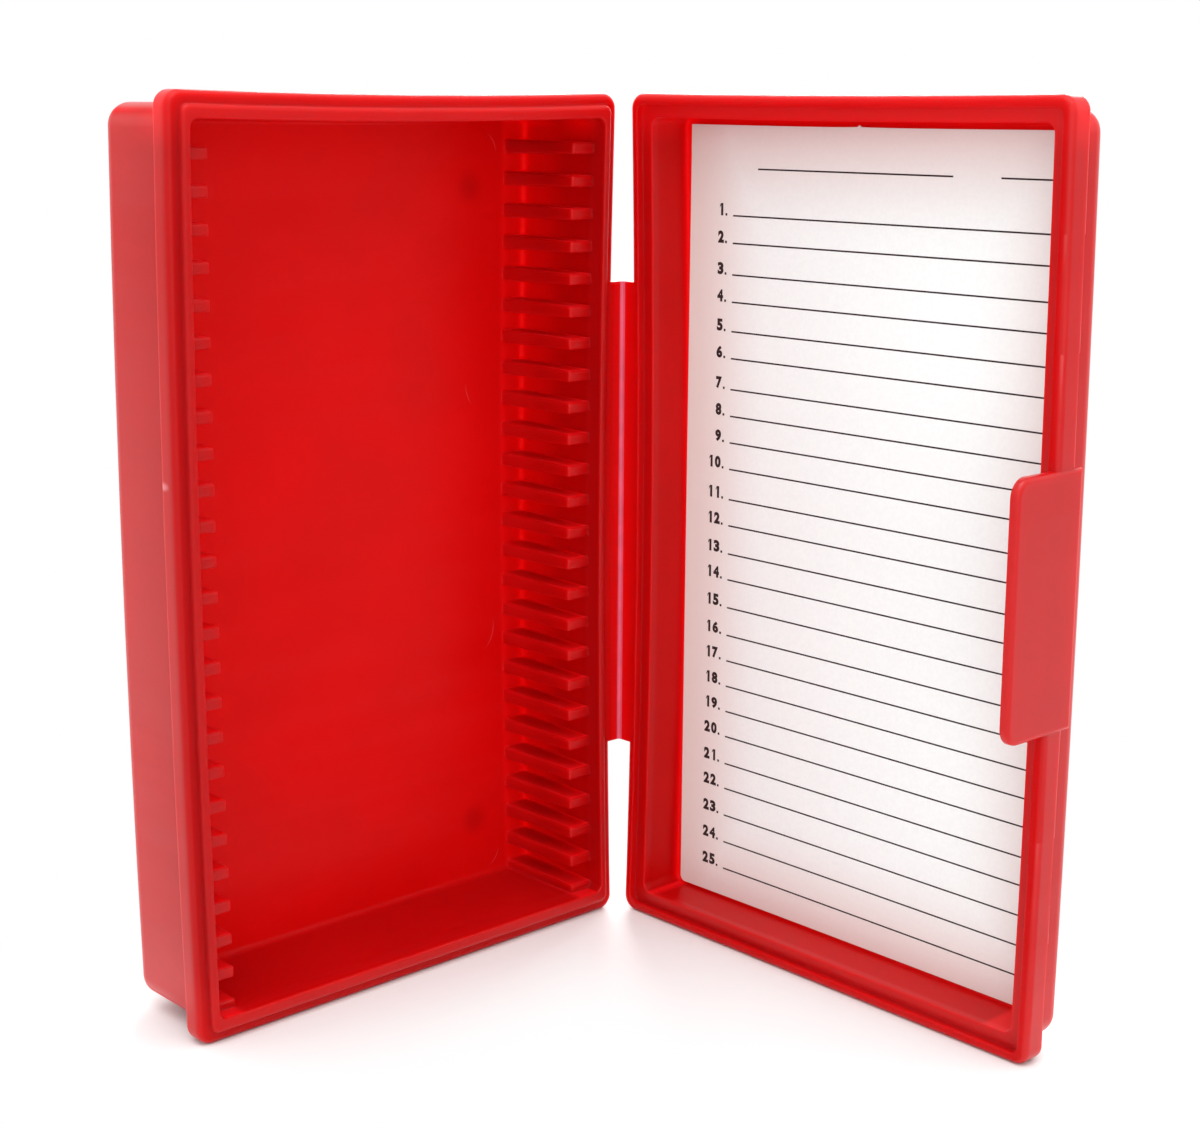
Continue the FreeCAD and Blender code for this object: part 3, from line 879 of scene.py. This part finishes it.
def add_number(bm, settings, number, up):
    for (points, faces), place in number_shapes(number, settings):
        verts = [bm.verts.new(print_point(NUMBER_END + place + x, up + NUMBER_RISE + y,
                                          settings.hinge_lift)) for x, y in points]
        for face in faces:
            bm.faces.new([verts[k] for k in face])


def print_mesh(settings):
    """The card's printing: the header's two lines, and the numbered lines."""
    bm = bmesh.new()
    for start, end in HEADER_LINES:
        add_line(bm, settings, start, end, CARD_HEIGHT - HEADER_GAP)
    for number, up in enumerate(line_heights(settings), start=1):
        add_line(bm, settings, LINE_START, CARD_WIDTH - LINE_END_MARGIN, up)
        add_number(bm, settings, number, up)
    mesh = bpy.data.meshes.new("card_print")
    bm.to_mesh(mesh)
    bm.free()
    return mesh


# ---- Hinge web ----

WEB_PROUD = 0.012 * MM       # web's inner face over the leaves' faces
WEB_CELL = 1.5 * MM
FOLD_STEPS = 10


def web_rows(settings):
    """The web's inner and outer points: a quarter turn, run on straight over both leaves."""
    centre = Vector((WEB_LOW.x, WEB_LOW.y, 0))
    outer = WEB_HIGH.x - WEB_LOW.x
    inner = LID_MOUTH - WEB_LOW.x - WEB_PROUD
    into_tray = Vector((-settings.tray_overlap, 0, 0))
    into_lid = Vector((0, -settings.lid_overlap, 0))
    turns = [pi / 2 * k / FOLD_STEPS for k in range(FOLD_STEPS + 1)]
    rows = []
    for up in spaced(WEB_HIGH.z - WEB_LOW.z, WEB_CELL):
        height = Vector((0, 0, WEB_LOW.z + up * (WEB_HIGH.z - WEB_LOW.z)))
        row = []
        for turn in turns:
            out = Vector((sin(turn), cos(turn), 0))
            row.append((centre + out * inner + height, centre + out * outer + height))
        row.insert(0, tuple(point + into_tray for point in row[0]))
        row.append(tuple(point + into_lid for point in row[-1]))
        rows.append(row)
    return rows


# ---- Stage ----

SHADOW_REACH = 35 * MM       # the floor is plain white this far from the box
WHITE = (1, 1, 1, 1)
LAMPS = {                    # side of each square lamp, in metres, and its place
    "top": (0.9, (-0.15, -0.2, 0.95)),
    "front": (0.6, (-0.45, -0.6, 0.12)),
    "back": (0.7, (0.8, 0.6, 0.45)),
}


def seen_directly(tree):
    """1 for what the camera sees, also in gloss or through glass, and 0 for other light."""
    path = add(tree, "ShaderNodeLightPath").outputs
    seen = math_node(tree, "MAXIMUM", path["Is Camera Ray"], path["Is Glossy Ray"])
    return math_node(tree, "MAXIMUM", seen, path["Is Transmission Ray"])


def white_backdrop(tree, shade, away):
    """Turns a surface plain white for the camera, and for gloss, as `away` goes from 0 to 1."""
    white = add(tree, "ShaderNodeEmission", {"Color": WHITE, "Strength": 1.0}).outputs[0]
    share = math_node(tree, "MULTIPLY", seen_directly(tree), away)
    return add(tree, "ShaderNodeMixShader", {0: share, 1: shade, 2: white}).outputs[0]


def footprint_distance(tree, place, low, high):
    """Distance over the floor to the rectangle under a box."""
    middle, half = (low + high) / 2, (high - low) / 2
    off = vector_node(tree, "SUBTRACT", place, (middle.x, middle.y, 0))
    past = vector_node(tree, "SUBTRACT", vector_node(tree, "ABSOLUTE", off), (half.x, half.y, 0))
    return vector_node(tree, "LENGTH", vector_node(tree, "MAXIMUM", past, (0, 0, 0)))


def floor_material(settings):
    """Pale, faintly glossy floor that fades to white away from the box."""
    material, tree, shader = new_material("floor")
    place = object_place(tree)
    near = [footprint_distance(tree, place, *box) for box in
            ((TRAY_LOW, TRAY_HIGH), (LID_LOW, LID_HIGH))]
    far = math_node(tree, "MINIMUM", *near)
    shader.inputs["Base Color"].default_value = opaque(settings.floor_colour)
    shader.inputs["Roughness"].default_value = 0.45
    shader.inputs["Specular IOR Level"].default_value = 0.1
    away = smooth_range(tree, far, 0.0, SHADOW_REACH)
    output = tree.nodes["Material Output"]
    tree.links.new(white_backdrop(tree, shader.outputs[0], away), output.inputs["Surface"])
    return material


def make_floor(settings):
    half = settings.floor_size / 2
    bm = bmesh.new()
    bmesh.ops.create_grid(bm, x_segments=8, y_segments=8, size=half)
    mesh = bpy.data.meshes.new("floor")
    bm.to_mesh(mesh)
    bm.free()
    return new_piece("floor", mesh, floor_material(settings))


def make_world(settings):
    world = bpy.data.worlds.new("studio")
    world.use_nodes = True
    tree = world.node_tree
    background = tree.nodes["Background"]
    strength = smooth_range(tree, seen_directly(tree), 0.0, 1.0, settings.ambient, 1.0)
    background.inputs["Color"].default_value = WHITE
    tree.links.new(strength, background.inputs["Strength"])
    bpy.context.scene.world = world


def add_lamp(name, power, target):
    size, place = LAMPS[name]
    lamp = bpy.data.lights.new("lamp_" + name, "AREA")
    lamp.energy = power
    lamp.size = size
    obj = bpy.data.objects.new("lamp_" + name, lamp)
    bpy.context.scene.collection.objects.link(obj)
    obj.location = place
    obj.rotation_euler = (target - Vector(place)).to_track_quat("-Z", "Y").to_euler()


def make_camera(settings):
    data = bpy.data.cameras.new("camera")
    data.sensor_width = 36.0
    data.lens = settings.lens
    data.shift_x, data.shift_y = settings.shift
    data.clip_start = 0.01
    camera = bpy.data.objects.new("camera", data)
    bpy.context.scene.collection.objects.link(camera)
    turn = (Matrix.Rotation(-settings.camera_heading, 4, "Z")
            @ Matrix.Rotation(pi / 2 - settings.camera_tilt, 4, "X")
            @ Matrix.Rotation(settings.camera_roll, 4, "Z"))
    camera.matrix_world = Matrix.Translation(settings.camera_place) @ turn
    bpy.context.scene.camera = camera


# ---- Operators ----

class SLIDEBOX_OT_tray(bpy.types.Operator):
    """Gives the tray its moulded plastic"""
    bl_idname = "slidebox.tray"
    bl_label = "Finish Tray"

    def execute(self, context):
        settings = context.scene.slidebox_plastic
        put_on(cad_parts["tray"],
               red_plastic("tray_plastic", settings, TRAY_SHAPE, tray_marks))
        return {"FINISHED"}


class SLIDEBOX_OT_lid(bpy.types.Operator):
    """Gives the lid its moulded plastic"""
    bl_idname = "slidebox.lid"
    bl_label = "Finish Lid"

    def execute(self, context):
        settings = context.scene.slidebox_plastic
        put_on(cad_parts["lid"], red_plastic("lid_plastic", settings, LID_SHAPE))
        return {"FINISHED"}


class SLIDEBOX_OT_hinge(bpy.types.Operator):
    """Makes the thin web that bends between the tray and the lid"""
    bl_idname = "slidebox.hinge"
    bl_label = "Make Hinge Web"

    def execute(self, context):
        settings = context.scene.slidebox_hinge
        mesh = sheet_mesh("hinge_film", web_rows(settings))
        film = new_piece("hinge_film", mesh,
                         web_plastic(settings, context.scene.slidebox_plastic))
        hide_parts("living_hinge")
        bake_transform(film)
        return {"FINISHED"}


class SLIDEBOX_OT_card(bpy.types.Operator):
    """Makes the index card, slightly lifted at its hinge side, and its printing"""
    bl_idname = "slidebox.card"
    bl_label = "Make Index Card"

    def execute(self, context):
        settings = context.scene.slidebox_card
        sheet = new_piece("card_sheet", sheet_mesh("card_sheet", card_rows(settings.hinge_lift)),
                          card_paper(settings))
        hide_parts("index_card")
        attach(sheet, "lid")
        printing = new_piece("card_print", print_mesh(settings), card_ink(settings))
        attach(printing, "lid")
        return {"FINISHED"}


class SLIDEBOX_OT_stage(bpy.types.Operator):
    """Makes the floor, the light and the camera"""
    bl_idname = "slidebox.stage"
    bl_label = "Make Stage"

    def execute(self, context):
        settings = context.scene.slidebox_stage
        make_floor(settings)
        make_world(settings)
        middle = (CAD_BOX[0] + CAD_BOX[1]) / 2
        add_lamp("top", settings.top_power, middle)
        add_lamp("front", settings.front_power, middle)
        add_lamp("back", settings.back_power, middle)
        make_camera(settings)
        context.scene.view_settings.view_transform = "Standard"
        return {"FINISHED"}


class SLIDEBOX_PT_panel(bpy.types.Panel):
    """Settings and steps of the slide storage box"""
    bl_label = "Slide Storage Box"
    bl_space_type = "VIEW_3D"
    bl_region_type = "UI"
    bl_category = "Slide Box"

    def draw(self, context):
        for name, kind in SETTINGS.items():
            box = self.layout.box()
            for field in kind.__annotations__:
                box.prop(getattr(context.scene, name), field)
        for step in STEPS:
            self.layout.operator(step.bl_idname)


SETTINGS = {
    "slidebox_plastic": PlasticSettings,
    "slidebox_hinge": HingeSettings,
    "slidebox_card": CardSettings,
    "slidebox_stage": StageSettings,
}
STEPS = (SLIDEBOX_OT_tray, SLIDEBOX_OT_lid, SLIDEBOX_OT_hinge, SLIDEBOX_OT_card,
         SLIDEBOX_OT_stage)


def register():
    for kind in (*SETTINGS.values(), *STEPS, SLIDEBOX_PT_panel):
        bpy.utils.register_class(kind)
    for name, kind in SETTINGS.items():
        setattr(bpy.types.Scene, name, bpy.props.PointerProperty(type=kind))


def unregister():
    for name in SETTINGS:
        delattr(bpy.types.Scene, name)
    for kind in (SLIDEBOX_PT_panel, *STEPS, *SETTINGS.values()):
        bpy.utils.unregister_class(kind)


def main():
    register()
    bpy.ops.slidebox.tray()
    bpy.ops.slidebox.lid()
    bpy.ops.slidebox.hinge()
    bpy.ops.slidebox.card()
    bpy.ops.slidebox.stage()


if __name__ == "__main__":
    main()
